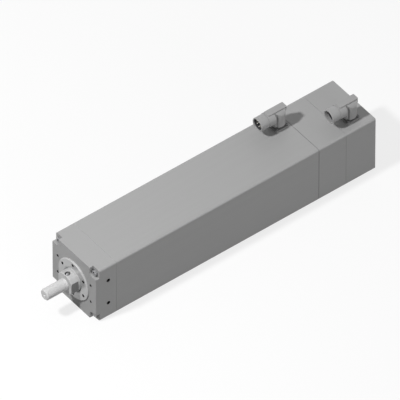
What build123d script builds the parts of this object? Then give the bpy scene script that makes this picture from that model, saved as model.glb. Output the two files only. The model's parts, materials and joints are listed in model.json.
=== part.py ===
from build123d import *
from math import asin, cos, radians, sin, tan
import os

# Electric cylinder: a square body round a hollow-shaft motor that turns a ball screw,
# whose nut pushes a round rod out of the front head.
# Millimetres, +X along the rod, +Z up, origin at the centre of the front mounting face.

os.makedirs("parts", exist_ok=True)

# Square body
body_side = 112.0
edge_radius = 3.5
head_length = 41.0
tube_allowance = 157.0
gasket_thickness = 1.2
gasket_inset = 0.4
bearing_housing_length = 54.8
rear_cap_length = 60.0
seam_chamfer = 0.4
end_chamfer = 0.8
tube_bore_radius = 49.0

# Corner bolts, front and rear
corner_bolt_radius = 3.0
corner_bolt_hole_radius = 3.3
corner_bolt_head_radius = 5.0
corner_bolt_head_height = 6.0
corner_bolt_socket = 5.0
corner_bolt_socket_depth = 3.0
corner_bolt_inset = 10.0
corner_bolt_grip = 13.0
corner_bolt_run_out = 2.0
notch_side = 16.0
notch_depth = 7.5
notch_corner_radius = 6.0
counterbore_radius = 5.5
head_counterbore_depth = 2.0
cap_counterbore_depth = 6.6

# Mounting holes of the front head
face_hole_spacing_y = 85.4
face_hole_spacing_z = 36.0
face_hole_radius = 2.5
face_hole_depth = 14.0
side_hole_x = -25.0
side_hole_spacing = 50.4
side_hole_radius = 3.4
side_hole_depth = 13.0

# Front cover, wiper, seal and bush
pilot_radius = 37.5
pilot_height = 2.8
pilot_chamfer = 0.6
spigot_radius = 35.0
spigot_depth = 7.0
cover_screw_circle_radius = 31.0
cover_screw_count = 6
cover_screw_first_angle = 30.0
cover_screw_radius = 1.5
cover_screw_head_radius = 2.6
cover_screw_head_height = 3.0
cover_screw_length = 12.0
cover_counterbore_radius = 2.8
cover_counterbore_depth = 4.6
wiper_radius = 23.0
wiper_length = 7.4
wiper_recess = 0.7
wiper_lip_thickness = 0.4
wiper_lip_undercut = 0.6
wiper_groove_width = 0.9
wiper_groove_depth = 1.4
seal_radius = 25.0
seal_length = 6.0
seal_lip_thickness = 1.5
seal_groove_depth = 3.0
bush_radius = 23.0
bush_length = 13.0
relief_radius = 31.0
relief_depth = 2.0

# Rod
rod_radius = 20.0
rod_bore_radius = 15.5
rod_collar_front = 3.0
rod_front = 18.6
rod_front_chamfer = 1.3
flat_half_width = 17.0
flat_length = 13.6
stub_radius = 10.0
stub_length = 41.4
stub_chamfer = 1.6
stub_shank_radius = 7.0
stub_shank_length = 14.0
stub_hole_run_out = 1.0
end_spigot_length = 25.0
grease_port_x = 13.3
grease_port_radius = 4.6
grease_port_depth = 5.5
nipple_thread_radius = 3.0
nipple_thread_length = 5.0
nipple_hex = 7.0
nipple_hex_height = 2.4
nipple_head_radius = 2.6
nipple_height = 5.2
nipple_chamfer = 0.8
nipple_hole_run_out = 1.0

# Screw drive
stroke = 250.0
screw_radius = 14.0
screw_play = 0.3
nut_radius = 25.0
nut_length = 60.0
nut_socket_depth = 15.0
nut_chamfer = 1.0
bumper_length = 6.0
bumper_radius = 24.5
bumper_bore_radius = 16.5
overrun = 3.5
screw_lead_out = 5.5
guide_pin_radius = 10.5
guide_pin_length = 12.0
guide_pin_chamfer = 0.8
screw_guide_length = 11.0

# Hollow rotor and stator
rotor_radius = 30.0
rotor_bore_radius = 26.5
rotor_shoulder_radius = 33.0
rotor_shoulder_length = 5.0
rotor_front_gap = 0.8
magnet_thickness = 3.5
magnet_count = 8
magnet_gap_width = 2.6
stack_length = 250.0
stack_setback = 25.0
air_gap = 0.5
slot_count = 12
tooth_width = 9.0
slot_mouth_width = 2.6
slot_mouth_length = 6.0
tooth_tip = 1.8
core_back = 5.0
coil_width = 4.6
coil_overhang = 14.0
coil_lining = 0.3
hub_setback = 43.0
hub_plug_length = 20.0
hub_flange_length = 7.0
hub_sleeve_radius = 19.0

# Bearings: cylindrical rollers in front, a pair of taper roller bearings for the thrust behind
front_bearing_width = 13.0
front_bearing_radius = 42.5
front_roller_radius = 3.0
front_roller_length = 8.0
front_roller_count = 14
front_rib_height = 1.6
rear_bearing_width = 17.0
rear_bearing_radius = 31.0
rear_roller_radius = 3.4
rear_roller_length = 10.5
rear_roller_count = 12
rear_roller_tilt = 14.0
rear_rib_height = 1.6
roller_play = 0.3
cage_thickness = 2.2
cage_bar = 1.6
pocket_play = 0.15
journal_radius = 12.5
journal_run_out = 1.0
thrust_shoulder = 10.0
thrust_bore_radius = 24.0
retainer_radius = 46.0
retainer_bore_radius = 26.5
retainer_screw_circle_radius = 39.0
retainer_screw_count = 6
retainer_screw_radius = 2.5
retainer_screw_head_radius = 4.2
retainer_screw_head_height = 5.0
retainer_screw_length = 20.0
retainer_head_play = 0.1
locknut_radius = 20.0
locknut_length = 9.0
locknut_slot = 5.0
locknut_slot_count = 4

# Encoder in the rear cap
cap_cavity_radius = 46.0
cap_end_wall = 8.0
encoder_radius = 29.0
encoder_length = 30.0
encoder_chamfer = 2.0
encoder_bore_radius = 9.0
encoder_plate_radius = 40.0
encoder_plate_thickness = 4.0
encoder_plate_bore_radius = 12.0
encoder_post_radius = 4.0
encoder_post_length = 8.0
encoder_post_circle_radius = 34.0
encoder_post_count = 3
encoder_hub_radius = 8.6
encoder_hub_inset = 2.0
tail_radius = 5.0

# Angled, turnable connectors on top of the body
power_connector_setback = 16.5
power_connector_y = -28.1
signal_connector_setback = 28.0
signal_connector_y = 27.4
flange_side = 26.0
flange_corner_radius = 4.0
flange_thickness = 3.5
flange_screw_spacing = 19.6
flange_screw_radius = 1.25
flange_screw_head_radius = 2.2
flange_screw_head_height = 2.4
flange_screw_length = 7.0
flange_screw_run_out = 1.0
lead_hole_radius = 6.0
lead_bore_radius = 5.0
turn_gap = 0.3
neck_radius = 9.0
neck_height = 2.6
barrel_axis_height = 26.5
drum_radius = 12.1
crown_radius = 12.5
link_radius = 9.8
collar_radius = 12.8
collar_gap = 0.5
collar_length = 12.9
barrel_radius = 12.2
barrel_reach = 41.9
groove_width = 1.2
groove_radius = 11.1
ring_thickness = 1.0
ring_side_play = 0.1
waist_length = 5.6
waist_half_width = 7.0
waist_top_height = 7.5
pad_width = 12.3
pad_length = 37.0
pad_height = 13.4
pad_root_height = 5.0
pad_overhang = 1.3
pad_corner_radius = 1.5
socket_radius = 10.1
socket_depth = 18.0
mouth_chamfer = 0.5
insert_play = 0.05
insert_rim_width = 1.2
power_insert_depth = 8.0
power_rim_depth = 2.0
power_pin_tip_depth = 3.2
power_pin_radius = 1.0
power_pin_circle_radius = 6.0
power_pin_count = 6
signal_insert_depth = 13.0
signal_rim_depth = 7.0
signal_pin_tip_depth = 8.2
signal_pin_radius = 0.5
signal_pin_circle_radius = 6.6
signal_pin_count = 12

# Clearances
press_play = 0.05
running_play = 0.05
seal_play = 0.3
cover_rod_play = 0.6

# Stations along the rod axis
head_back = -head_length
tube_back = head_back - stroke - tube_allowance
gasket_back = tube_back - gasket_thickness
housing_back = gasket_back - bearing_housing_length
cap_back = housing_back - rear_cap_length
power_connector_x = tube_back + power_connector_setback
signal_connector_x = housing_back - signal_connector_setback
top_z = body_side / 2
bolt_spacing = body_side - 2 * corner_bolt_inset
head_bolt_seat = -notch_depth - head_counterbore_depth
cap_bolt_seat = cap_back + cap_counterbore_depth
seal_back = -spigot_depth - seal_length
bush_back = seal_back - bush_length
relief_back = bush_back - relief_depth
rotor_front = relief_back - rotor_front_gap
front_bearing_front = head_back + front_bearing_width
hub_front = tube_back + hub_setback
nut_back = hub_front + overrun + bumper_length
nut_front = nut_back + nut_length
screw_front = nut_front + stroke + screw_lead_out
stack_back = hub_front + stack_setback
stack_front = stack_back + stack_length
stator_bore_radius = rotor_radius + magnet_thickness + air_gap
stator_radius = tube_bore_radius - press_play
hub_plug_back = hub_front - hub_plug_length
hub_flange_back = hub_plug_back - hub_flange_length
rear_bearing_front = gasket_back - thrust_shoulder
rear_bearing_back = rear_bearing_front - 2 * rear_bearing_width
locknut_back = rear_bearing_back - locknut_length
plate_front = housing_back - encoder_post_length
encoder_front = plate_front - encoder_plate_thickness
encoder_back = encoder_front - encoder_length


def across(x):
    """Sketch plane across the rod axis at station x, facing the front."""
    return Plane.YZ.offset(x)


def save(piece, name):
    """Label one finished piece and write it as its own file."""
    piece.part.label = name
    export_step(piece.part, f"parts/{name}.step")


def turned_ring(front, back, inner, outer):
    """Plain ring round the rod axis between two stations."""
    with BuildPart() as ring:
        with BuildSketch(across(back)):
            Circle(outer)
            Circle(inner, mode=Mode.SUBTRACT)
        extrude(amount=front - back)
    return ring


def bore(steps):
    """Cut round steps along the rod axis; each step is (front, back, radius)."""
    for front, back, radius in steps:
        with Locations(across(back)):
            Cylinder(
                radius, front - back, align=(Align.CENTER, Align.CENTER, Align.MIN), mode=Mode.SUBTRACT
            )


def square_block(front, back):
    """One length of the square body, with rounded long edges."""
    with Locations(((front + back) / 2, 0, 0)):
        block = Box(front - back, body_side, body_side)
    fillet(block.edges().filter_by(Axis.X), radius=edge_radius)


def chamfer_end(part, end, size):
    """Chamfer the outer edge of the body block at one end: -1 is the back, 1 the front."""
    face = part.faces().filter_by(Axis.X).sort_by(Axis.X)[0 if end < 0 else -1]
    chamfer(face.outer_wire().edges(), length=size)


def screws(plane, places, radius, length, head_radius, head_height, socket=0.0, socket_depth=0.0):
    """Round-headed screws: the head stands on the plane and the shank goes down from it."""
    with BuildPart() as made:
        with BuildSketch(plane):
            with places():
                Circle(head_radius)
        extrude(amount=head_height)
        with BuildSketch(plane):
            with places():
                Circle(radius)
        extrude(amount=-length)
        if socket:
            with BuildSketch(plane.offset(head_height)):
                with places():
                    RegularPolygon(socket / 2, 6, major_radius=False)
            extrude(amount=-socket_depth, mode=Mode.SUBTRACT)
    return made


def corner_places():
    """The four corner bolts."""
    return GridLocations(bolt_spacing, bolt_spacing, 2, 2)


def cover_screw_places():
    """The ring of small screws in the front cover."""
    return PolarLocations(cover_screw_circle_radius, cover_screw_count, cover_screw_first_angle)


def flange_screw_places(x, y):
    """The four screws round a connector that stands at x, y on top of the body."""
    return [
        (x + i * flange_screw_spacing / 2, y + j * flange_screw_spacing / 2)
        for i in (-1, 1)
        for j in (-1, 1)
    ]


def connector_holes(x, y, cavity_radius):
    """Lead hole down into the round cavity of the body and four tapped holes round it."""
    cavity_roof = (cavity_radius**2 - (abs(y) + lead_hole_radius) ** 2) ** 0.5
    tapped_depth = flange_screw_length - flange_thickness + flange_screw_run_out
    with Locations(Plane.XY.offset(top_z)):
        with Locations((x, y)):
            Hole(lead_hole_radius, depth=top_z - cavity_roof)
        with Locations(*flange_screw_places(x, y)):
            Hole(flange_screw_radius + press_play, depth=tapped_depth)


def retainer_screw_places():
    """The screws of the bearing retainer."""
    return PolarLocations(retainer_screw_circle_radius, retainer_screw_count)


def encoder_post_places():
    """The posts that carry the encoder."""
    return PolarLocations(encoder_post_circle_radius, encoder_post_count, 90)


# Front head with its corner notches, stepped bore and mounting holes
with BuildPart() as front_head:
    square_block(0, head_back)
    chamfer_end(front_head, -1, seam_chamfer)
    with BuildSketch(across(0)) as notches:
        with GridLocations(body_side - notch_side, body_side - notch_side, 2, 2):
            Rectangle(notch_side, notch_side)
        fillet(notches.vertices().sort_by_distance((0, 0))[:4], radius=notch_corner_radius)
    extrude(amount=-notch_depth, mode=Mode.SUBTRACT)
    bore(
        [
            (0, -spigot_depth, spigot_radius + press_play),
            (-spigot_depth, seal_back, seal_radius + press_play),
            (seal_back, bush_back, bush_radius + press_play),
            (bush_back, front_bearing_front, relief_radius),
            (front_bearing_front, head_back, front_bearing_radius + press_play),
        ]
    )
    with BuildSketch(across(-notch_depth)):
        with corner_places():
            Circle(counterbore_radius)
    extrude(amount=-head_counterbore_depth, mode=Mode.SUBTRACT)
    with BuildSketch(across(0)):
        with corner_places():
            Circle(corner_bolt_hole_radius)
    extrude(amount=-head_length, mode=Mode.SUBTRACT)
    with Locations(across(0)):
        with GridLocations(face_hole_spacing_y, face_hole_spacing_z, 2, 2):
            Hole(face_hole_radius, depth=face_hole_depth)
        with cover_screw_places():
            Hole(cover_screw_radius + press_play, depth=spigot_depth + cover_screw_length)
    for side in (-1, 1):
        side_face = Plane(
            origin=(side_hole_x, side * body_side / 2, 0), x_dir=(1, 0, 0), z_dir=(0, side, 0)
        )
        with Locations(side_face):
            with GridLocations(0, side_hole_spacing, 1, 2):
                Hole(side_hole_radius, depth=side_hole_depth)
save(front_head, "front_head")

head_bolts = screws(
    across(head_bolt_seat),
    corner_places,
    corner_bolt_radius,
    head_bolt_seat - head_back + corner_bolt_grip,
    corner_bolt_head_radius,
    corner_bolt_head_height,
    corner_bolt_socket,
    corner_bolt_socket_depth,
)
save(head_bolts, "head_bolts")

# Front cover: the pilot disc, its spigot in the head and the ring of small screws
with BuildPart() as front_cover:
    with BuildSketch(across(0)):
        Circle(pilot_radius)
    extrude(amount=pilot_height)
    chamfer(front_cover.edges().sort_by(Axis.X)[-1], length=pilot_chamfer)
    with BuildSketch(across(-spigot_depth)):
        Circle(spigot_radius)
    extrude(amount=spigot_depth)
    wiper_front = pilot_height - wiper_recess
    wiper_back = wiper_front - wiper_length
    bore(
        [
            (pilot_height, wiper_back, wiper_radius + press_play),
            (wiper_back, -spigot_depth, rod_radius + cover_rod_play),
        ]
    )
    with BuildSketch(across(pilot_height)):
        with cover_screw_places():
            Circle(cover_counterbore_radius)
    extrude(amount=-cover_counterbore_depth, mode=Mode.SUBTRACT)
    with BuildSketch(across(pilot_height)):
        with cover_screw_places():
            Circle(cover_screw_radius + press_play)
    extrude(amount=-(pilot_height + spigot_depth), mode=Mode.SUBTRACT)
save(front_cover, "front_cover")

front_cover_screws = screws(
    across(pilot_height - cover_counterbore_depth),
    cover_screw_places,
    cover_screw_radius,
    cover_screw_length,
    cover_screw_head_radius,
    cover_screw_head_height,
)
save(front_cover_screws, "front_cover_screws")

# Wiper with a thin lip towards the rod, U-shaped rod seal and plain bush
lip_bottom = rod_radius + seal_play
lip_top = lip_bottom + wiper_lip_thickness
groove_middle = lip_top + wiper_groove_width / 2
with BuildPart() as rod_wiper:
    with BuildSketch(Plane.XZ):
        with BuildLine():
            Polyline(
                (wiper_back, lip_bottom),
                (wiper_back, wiper_radius),
                (wiper_front, wiper_radius),
                (wiper_front, lip_top + wiper_groove_width),
                (wiper_front - wiper_groove_depth, groove_middle),
                (wiper_front, lip_top),
                (wiper_front - wiper_lip_undercut, lip_bottom),
                close=True,
            )
        make_face()
    revolve(axis=Axis.X)
save(rod_wiper, "rod_wiper")

with BuildPart() as rod_seal:
    with BuildSketch(across(seal_back)):
        Circle(seal_radius)
        Circle(rod_radius + seal_play, mode=Mode.SUBTRACT)
    extrude(amount=seal_length)
    with BuildSketch(across(seal_back)):
        Circle(seal_radius - seal_lip_thickness)
        Circle(rod_radius + seal_play + seal_lip_thickness, mode=Mode.SUBTRACT)
    extrude(amount=seal_groove_depth, mode=Mode.SUBTRACT)
save(rod_seal, "rod_seal")

rod_bush = turned_ring(seal_back, bush_back, rod_radius + running_play, bush_radius)
save(rod_bush, "rod_bush")

# Motor tube: square outside, round bore, tapped corners at both ends
with BuildPart() as motor_tube:
    square_block(head_back, tube_back)
    chamfer_end(motor_tube, 1, seam_chamfer)
    bore([(head_back, tube_back, tube_bore_radius)])
    for end, inward in ((head_back, -1), (tube_back, 1)):
        with BuildSketch(across(end)):
            with corner_places():
                Circle(corner_bolt_radius + press_play)
        extrude(amount=inward * (corner_bolt_grip + corner_bolt_run_out), mode=Mode.SUBTRACT)
    connector_holes(power_connector_x, power_connector_y, tube_bore_radius)
save(motor_tube, "motor_tube")

with BuildPart() as housing_gasket:
    with BuildSketch(across(gasket_back)):
        gasket_side = body_side - 2 * gasket_inset
        RectangleRounded(gasket_side, gasket_side, edge_radius)
        Circle(tube_bore_radius, mode=Mode.SUBTRACT)
        with corner_places():
            Circle(corner_bolt_hole_radius, mode=Mode.SUBTRACT)
    extrude(amount=gasket_thickness)
save(housing_gasket, "housing_gasket")

# Bearing housing: thrust shoulder in front, bearing bore, recess for the retainer
with BuildPart() as bearing_housing:
    square_block(gasket_back, housing_back)
    chamfer_end(bearing_housing, -1, seam_chamfer)
    bore(
        [
            (gasket_back, rear_bearing_front, thrust_bore_radius),
            (rear_bearing_front, rear_bearing_back, rear_bearing_radius + press_play),
            (rear_bearing_back, housing_back, retainer_radius + press_play),
        ]
    )
    with BuildSketch(across(housing_back)):
        with corner_places():
            Circle(corner_bolt_hole_radius)
    extrude(amount=bearing_housing_length, mode=Mode.SUBTRACT)
    with BuildSketch(across(rear_bearing_back)):
        with retainer_screw_places():
            Circle(retainer_screw_radius + press_play)
    extrude(amount=retainer_screw_length, mode=Mode.SUBTRACT)
save(bearing_housing, "bearing_housing")

retainer_head_seat = housing_back + retainer_screw_head_height
with BuildPart() as bearing_retainer:
    with BuildSketch(across(housing_back)):
        Circle(retainer_radius)
        Circle(retainer_bore_radius, mode=Mode.SUBTRACT)
        with retainer_screw_places():
            Circle(retainer_screw_radius + press_play, mode=Mode.SUBTRACT)
    extrude(amount=rear_bearing_back - housing_back)
    with BuildSketch(across(housing_back)):
        with retainer_screw_places():
            Circle(retainer_screw_head_radius + retainer_head_play)
    extrude(amount=retainer_screw_head_height, mode=Mode.SUBTRACT)
save(bearing_retainer, "bearing_retainer")

back_facing = Plane(origin=(retainer_head_seat, 0, 0), x_dir=(0, 1, 0), z_dir=(-1, 0, 0))
retainer_screws = screws(
    back_facing,
    retainer_screw_places,
    retainer_screw_radius,
    retainer_screw_length,
    retainer_screw_head_radius,
    retainer_screw_head_height,
)
save(retainer_screws, "retainer_screws")

# Rear cap: round cavity for the encoder, long corner bolts from the back
with BuildPart() as rear_cap:
    square_block(housing_back, cap_back)
    chamfer_end(rear_cap, -1, end_chamfer)
    bore([(housing_back, cap_back + cap_end_wall, cap_cavity_radius)])
    with BuildSketch(across(cap_back)):
        with corner_places():
            Circle(corner_bolt_hole_radius)
    extrude(amount=rear_cap_length, mode=Mode.SUBTRACT)
    with BuildSketch(across(cap_back)):
        with corner_places():
            Circle(counterbore_radius)
    extrude(amount=cap_counterbore_depth, mode=Mode.SUBTRACT)
    connector_holes(signal_connector_x, signal_connector_y, cap_cavity_radius)
save(rear_cap, "rear_cap")

rear_bolts = screws(
    Plane(origin=(cap_bolt_seat, 0, 0), x_dir=(0, 1, 0), z_dir=(-1, 0, 0)),
    corner_places,
    corner_bolt_radius,
    tube_back + corner_bolt_grip - cap_bolt_seat,
    corner_bolt_head_radius,
    corner_bolt_head_height,
    corner_bolt_socket,
    corner_bolt_socket_depth,
)
save(rear_bolts, "rear_bolts")

# Stator core: a ring of teeth with narrow slot mouths towards the rotor
slot_floor = stator_radius - core_back
slot_roof = stator_bore_radius + tooth_tip
slot_angle = 360 / slot_count
with BuildPart() as stator_core:
    with BuildSketch(across(stack_back)):
        Circle(stator_radius)
        Circle(stator_bore_radius, mode=Mode.SUBTRACT)
        with BuildSketch(across(stack_back), mode=Mode.PRIVATE) as teeth:
            Circle(slot_floor)
            Circle(slot_roof, mode=Mode.SUBTRACT)
            with PolarLocations((slot_floor + slot_roof) / 2, slot_count):
                Rectangle(slot_floor, tooth_width, mode=Mode.SUBTRACT)
        add(teeth.sketch_local, mode=Mode.SUBTRACT)
        with PolarLocations(slot_roof, slot_count, slot_angle / 2):
            Rectangle(slot_mouth_length, slot_mouth_width, mode=Mode.SUBTRACT)
    extrude(amount=stack_length)
save(stator_core, "stator_core")

# One coil round each tooth, with the end turns standing out of the core
coil_inner_width = tooth_width + 2 * coil_lining
coil_half_width = coil_inner_width / 2 + coil_width
coil_bottom = slot_roof + coil_lining
coil_top = ((slot_floor - coil_lining) ** 2 - coil_half_width**2) ** 0.5
coil_inner_length = stack_length + 2 * (coil_overhang - coil_width)
with BuildPart() as stator_coils:
    for index in range(slot_count):
        angle = radians(index * slot_angle)
        outward = Vector(0, cos(angle), sin(angle))
        with BuildSketch(Plane(outward * coil_bottom, (1, 0, 0), outward)):
            with Locations(((stack_front + stack_back) / 2, 0)):
                RectangleRounded(coil_inner_length + 2 * coil_width, 2 * coil_half_width, coil_width)
                Rectangle(coil_inner_length, coil_inner_width, mode=Mode.SUBTRACT)
        extrude(amount=coil_top - coil_bottom)
save(stator_coils, "stator_coils")

# Rotor: hollow tube, magnets, hub and screw
shoulder_front = head_back - seal_play
with BuildPart() as rotor_tube:
    with BuildSketch(across(hub_plug_back)):
        Circle(rotor_radius)
    extrude(amount=rotor_front - hub_plug_back)
    with BuildSketch(across(shoulder_front - rotor_shoulder_length)):
        Circle(rotor_shoulder_radius)
    extrude(amount=rotor_shoulder_length)
    bore([(rotor_front, hub_plug_back, rotor_bore_radius)])
save(rotor_tube, "rotor_tube")

magnet_radius = rotor_radius + magnet_thickness
with BuildPart() as rotor_magnets:
    with BuildSketch(across(stack_back)):
        Circle(magnet_radius)
        Circle(rotor_radius + press_play, mode=Mode.SUBTRACT)
        with PolarLocations(magnet_radius, magnet_count):
            Rectangle(magnet_radius, magnet_gap_width, mode=Mode.SUBTRACT)
    extrude(amount=stack_length)
save(rotor_magnets, "rotor_magnets")

with BuildPart() as rotor_hub:
    with BuildSketch(across(hub_plug_back)):
        Circle(rotor_bore_radius - press_play)
    extrude(amount=hub_plug_length)
    with BuildSketch(across(hub_flange_back)):
        Circle(rotor_radius)
    extrude(amount=hub_flange_length)
    with BuildSketch(across(rear_bearing_front)):
        Circle(hub_sleeve_radius)
    extrude(amount=hub_flange_back - rear_bearing_front)
    bore([(hub_front, rear_bearing_front, journal_radius + press_play)])
save(rotor_hub, "rotor_hub")

journal_back = locknut_back - journal_run_out
with BuildPart() as screw_shaft:
    with BuildSketch(across(hub_front)):
        Circle(screw_radius)
    extrude(amount=screw_front - hub_front)
    with BuildSketch(across(screw_front)):
        Circle(guide_pin_radius)
    extrude(amount=guide_pin_length)
    chamfer(screw_shaft.edges().sort_by(Axis.X)[-1], length=guide_pin_chamfer)
    with BuildSketch(across(journal_back)):
        Circle(journal_radius)
    extrude(amount=hub_front - journal_back)
    with BuildSketch(across(encoder_back)):
        Circle(tail_radius)
    extrude(amount=journal_back - encoder_back)
save(screw_shaft, "screw_shaft")

screw_guide = turned_ring(
    screw_front + screw_guide_length,
    screw_front,
    guide_pin_radius + press_play,
    rod_bore_radius - seal_play,
)
save(screw_guide, "screw_guide")

with BuildPart() as bearing_locknut:
    with BuildSketch(across(locknut_back)):
        Circle(locknut_radius)
        Circle(journal_radius + press_play, mode=Mode.SUBTRACT)
        with PolarLocations(locknut_radius, locknut_slot_count):
            Rectangle(locknut_slot, locknut_slot, mode=Mode.SUBTRACT)
    extrude(amount=locknut_length)
save(bearing_locknut, "bearing_locknut")


# Front bearing: plain inner race, ribbed outer race, cylindrical rollers in a window cage
def cage_windows(planes, roller_radius, roller_length):
    """Cut one window in a cage for each roller, square to the roller's own plane."""
    for plane in planes:
        with Locations(plane):
            Box(
                2 * (roller_radius + pocket_play),
                2 * roller_radius,
                roller_length + 2 * pocket_play,
                mode=Mode.SUBTRACT,
            )


def roller_planes(row, pitch_radius, tilt, outward, count):
    """Planes across the rollers of one row; each roller leans by tilt away from the rod axis."""
    planes = []
    for index in range(count):
        angle = radians(360 * index / count)
        radial = Vector(0, cos(angle), sin(angle))
        tangent = Vector(0, -sin(angle), cos(angle))
        along = Vector(outward * cos(radians(tilt)), 0, 0) + radial * sin(radians(tilt))
        planes.append(Plane(Vector(row, 0, 0) + radial * pitch_radius, tangent, along))
    return planes


front_row = (front_bearing_front + head_back) / 2
front_pitch = (rotor_radius + front_bearing_radius) / 2
front_planes = roller_planes(front_row, front_pitch, 0, 1, front_roller_count)
front_inner_race = front_pitch - front_roller_radius - roller_play
front_outer_race = front_pitch + front_roller_radius + roller_play
with BuildPart() as front_bearing_outer:
    with BuildSketch(across(head_back)):
        Circle(front_bearing_radius)
        Circle(front_outer_race - front_rib_height, mode=Mode.SUBTRACT)
    extrude(amount=front_bearing_width)
    with BuildSketch(across(front_row)):
        Circle(front_outer_race)
    extrude(amount=front_roller_length / 2 + roller_play, both=True, mode=Mode.SUBTRACT)
save(front_bearing_outer, "front_bearing_outer")

front_bearing_inner = turned_ring(
    front_bearing_front, head_back, rotor_radius + press_play, front_inner_race
)
save(front_bearing_inner, "front_bearing_inner")

with BuildPart() as front_bearing_rollers:
    for plane in front_planes:
        with Locations(plane):
            Cylinder(front_roller_radius, front_roller_length)
save(front_bearing_rollers, "front_bearing_rollers")

with BuildPart() as front_bearing_cage:
    with BuildSketch(across(front_row)):
        Circle(front_pitch + cage_thickness / 2)
        Circle(front_pitch - cage_thickness / 2, mode=Mode.SUBTRACT)
    extrude(amount=front_roller_length / 2 + cage_bar, both=True)
    cage_windows(front_planes, front_roller_radius, front_roller_length)
save(front_bearing_cage, "front_bearing_cage")

# Rear bearings: two rows of taper rollers whose small ends face each other; every cone
# of a row has its apex at the same point of the rod axis
rear_pitch = (journal_radius + rear_bearing_radius) / 2
rear_middle = rear_bearing_front - rear_bearing_width
rear_rows = [(rear_middle + side * rear_bearing_width / 2, side) for side in (1, -1)]
rear_tilt = radians(rear_roller_tilt)
roller_taper = asin(rear_roller_radius * sin(rear_tilt) / rear_pitch)
roller_flare = rear_roller_length / 2 * tan(roller_taper)
roller_big_end = rear_roller_radius + roller_flare
rib_face = rear_roller_length / 2 * cos(rear_tilt) + roller_big_end * sin(rear_tilt) + roller_play


def race_radius(offset, half_angle):
    """Radius of a cone of the row at an axial offset from the middle of its rollers."""
    return (rear_pitch / tan(rear_tilt) + offset) * tan(half_angle)


def taper_ring(name, profile):
    """Both rings of the pair, turned from a profile of (outward offset, radius) points."""
    with BuildPart() as rings:
        for row, outward in rear_rows:
            with BuildSketch(Plane.XZ):
                with BuildLine():
                    Polyline(*[(row + outward * offset, radius) for offset, radius in profile], close=True)
                make_face()
            revolve(axis=Axis.X)
    save(rings, name)


half_width = rear_bearing_width / 2
outer_angle = rear_tilt + roller_taper
inner_angle = rear_tilt - roller_taper
rib_radius = race_radius(rib_face, inner_angle) - roller_play + rear_rib_height
taper_ring(
    "rear_bearing_outer",
    [
        (-half_width, rear_bearing_radius),
        (-half_width, race_radius(-half_width, outer_angle) + roller_play),
        (half_width, race_radius(half_width, outer_angle) + roller_play),
        (half_width, rear_bearing_radius),
    ],
)
taper_ring(
    "rear_bearing_inner",
    [
        (-half_width, journal_radius + press_play),
        (-half_width, race_radius(-half_width, inner_angle) - roller_play),
        (rib_face, race_radius(rib_face, inner_angle) - roller_play),
        (rib_face, rib_radius),
        (half_width, rib_radius),
        (half_width, journal_radius + press_play),
    ],
)

rear_planes = [
    plane
    for row, outward in rear_rows
    for plane in roller_planes(row, rear_pitch, rear_roller_tilt, outward, rear_roller_count)
]
with BuildPart() as rear_bearing_rollers:
    for plane in rear_planes:
        with Locations(plane):
            Cone(rear_roller_radius - roller_flare, roller_big_end, rear_roller_length)
save(rear_bearing_rollers, "rear_bearing_rollers")

cage_reach = rear_roller_length / 2 + cage_bar
with BuildPart() as rear_bearing_cages:
    for row, outward in rear_rows:
        with BuildSketch(Plane.XZ):
            with Locations(Location((row, rear_pitch), outward * rear_roller_tilt)):
                Rectangle(2 * cage_reach, cage_thickness)
        revolve(axis=Axis.X)
    cage_windows(rear_planes, roller_big_end, rear_roller_length)
save(rear_bearing_cages, "rear_bearing_cages")

# Encoder on three posts behind the bearing retainer
with BuildPart() as encoder_plate:
    with BuildSketch(across(encoder_front)):
        Circle(encoder_plate_radius)
        Circle(encoder_plate_bore_radius, mode=Mode.SUBTRACT)
    extrude(amount=encoder_plate_thickness)
    with BuildSketch(across(plate_front)):
        with encoder_post_places():
            Circle(encoder_post_radius)
    extrude(amount=encoder_post_length)
save(encoder_plate, "encoder_plate")

with BuildPart() as encoder_body:
    with BuildSketch(across(encoder_back)):
        Circle(encoder_radius)
    extrude(amount=encoder_length)
    chamfer(encoder_body.edges().sort_by(Axis.X)[0], length=encoder_chamfer)
    bore([(encoder_front, encoder_back, encoder_bore_radius)])
save(encoder_body, "encoder_body")

encoder_hub = turned_ring(
    plate_front, encoder_back + encoder_hub_inset, tail_radius + press_play, encoder_hub_radius
)
save(encoder_hub, "encoder_hub")

# Rod: end piece with flats and grease port; threaded stub; tube; nut; rubber stops
nipple_hole_depth = grease_port_depth + nipple_thread_length + nipple_hole_run_out
with BuildPart() as rod_end:
    with BuildSketch(across(rod_collar_front)):
        Circle(rod_radius)
    extrude(amount=rod_front - rod_collar_front)
    chamfer(rod_end.edges().sort_by(Axis.X)[-1], length=rod_front_chamfer)
    with BuildSketch(across(rod_front)):
        with Locations((flat_half_width, 0)):
            Rectangle(rod_radius, 2 * rod_radius, align=(Align.MIN, Align.CENTER))
        with Locations((-flat_half_width, 0)):
            Rectangle(rod_radius, 2 * rod_radius, align=(Align.MAX, Align.CENTER))
    extrude(amount=-flat_length, mode=Mode.SUBTRACT)
    with BuildSketch(across(rod_collar_front - end_spigot_length)):
        Circle(rod_bore_radius - press_play)
    extrude(amount=end_spigot_length)
    stub_hole_back = rod_front - stub_shank_length - stub_hole_run_out
    bore([(rod_front, stub_hole_back, stub_shank_radius + press_play)])
    with BuildSketch(Plane.XY.offset(rod_radius)):
        with Locations((grease_port_x, 0)):
            Circle(grease_port_radius)
    extrude(amount=-grease_port_depth, mode=Mode.SUBTRACT)
    with BuildSketch(Plane.XY.offset(rod_radius)):
        with Locations((grease_port_x, 0)):
            Circle(nipple_thread_radius + press_play)
    extrude(amount=-nipple_hole_depth, mode=Mode.SUBTRACT)
save(rod_end, "rod_end")

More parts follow.
